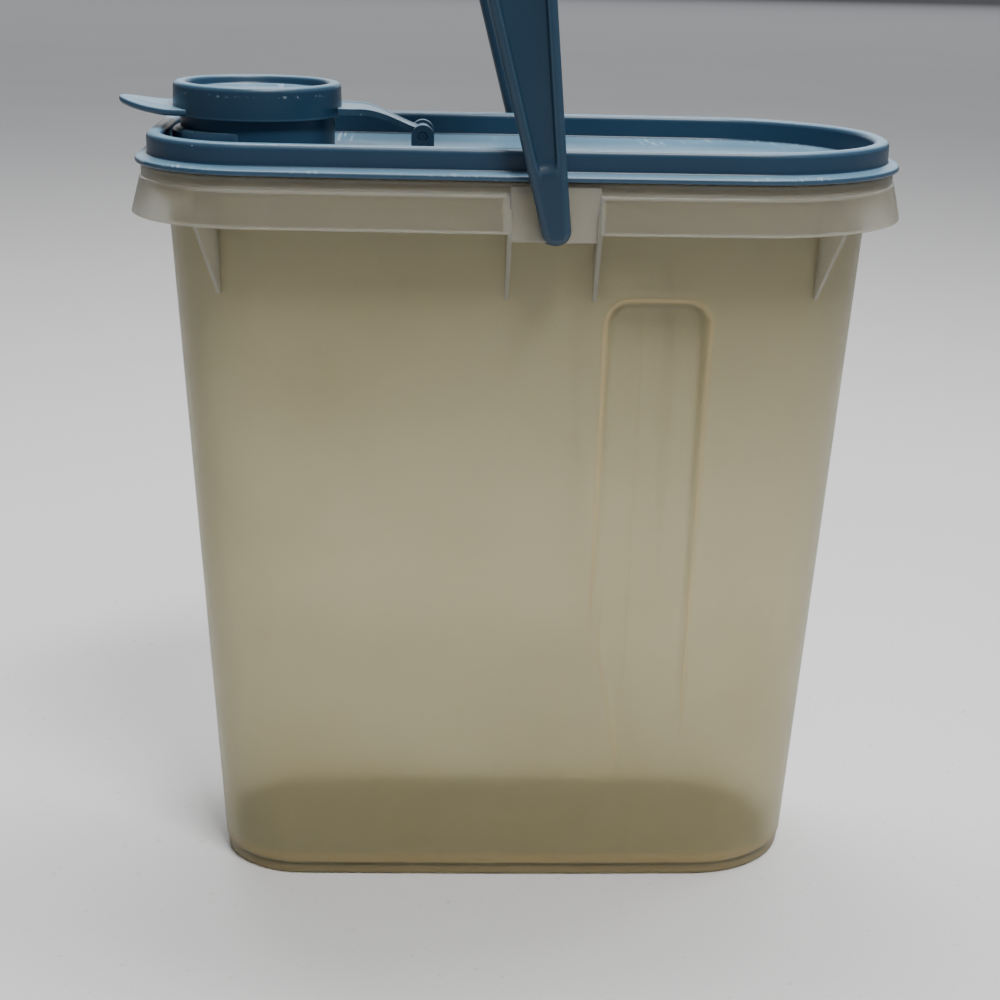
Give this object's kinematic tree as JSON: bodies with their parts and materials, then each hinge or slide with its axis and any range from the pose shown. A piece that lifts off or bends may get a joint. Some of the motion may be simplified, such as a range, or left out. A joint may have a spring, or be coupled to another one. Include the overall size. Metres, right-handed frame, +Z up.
{
  "type": "cereal dispenser",
  "caption": "Tapered upright dry food container with a flared rim skirt, press-on lid, round spout with hinged flip cap, and a swinging carry handle.",
  "frame": {"origin": "middle of the container's flat base, on the table", "axes": "+Z up, +X along the length towards the plain end of the lid, -X towards the spout, +Y to the back wide face; the hand hollows are on both wide faces"},
  "size_m": [0.2489, 0.1278, 0.355],
  "materials": {
    "natural_plastic": "satin, see-through, yellowed with age",
    "blue_plastic": "satin, lightly scuffed"
  },
  "bodies": {
    "container": {"container": "natural_plastic"},
    "lid": {"lid": "blue_plastic"},
    "spout_cap": {"spout_cap": "blue_plastic"},
    "handle": {"handle": "blue_plastic"}
  },
  "joints": [
    {"name": "lid_lift", "type": "slide", "parent": "container", "child": "lid", "axis": [0, 0, 1], "range_m": [0, 0.03]},
    {"name": "cap_flip", "type": "hinge", "parent": "lid", "child": "spout_cap", "pos_m": [-0.0318, 0, 0.2428], "axis": [0, 1, 0], "range_deg": [0, 155]},
    {"name": "handle_swing", "type": "hinge", "parent": "container", "child": "handle", "pos_m": [0.0073, 0, 0.222], "axis": [0, 1, 0], "range_deg": [-40, 130]}
  ]
}
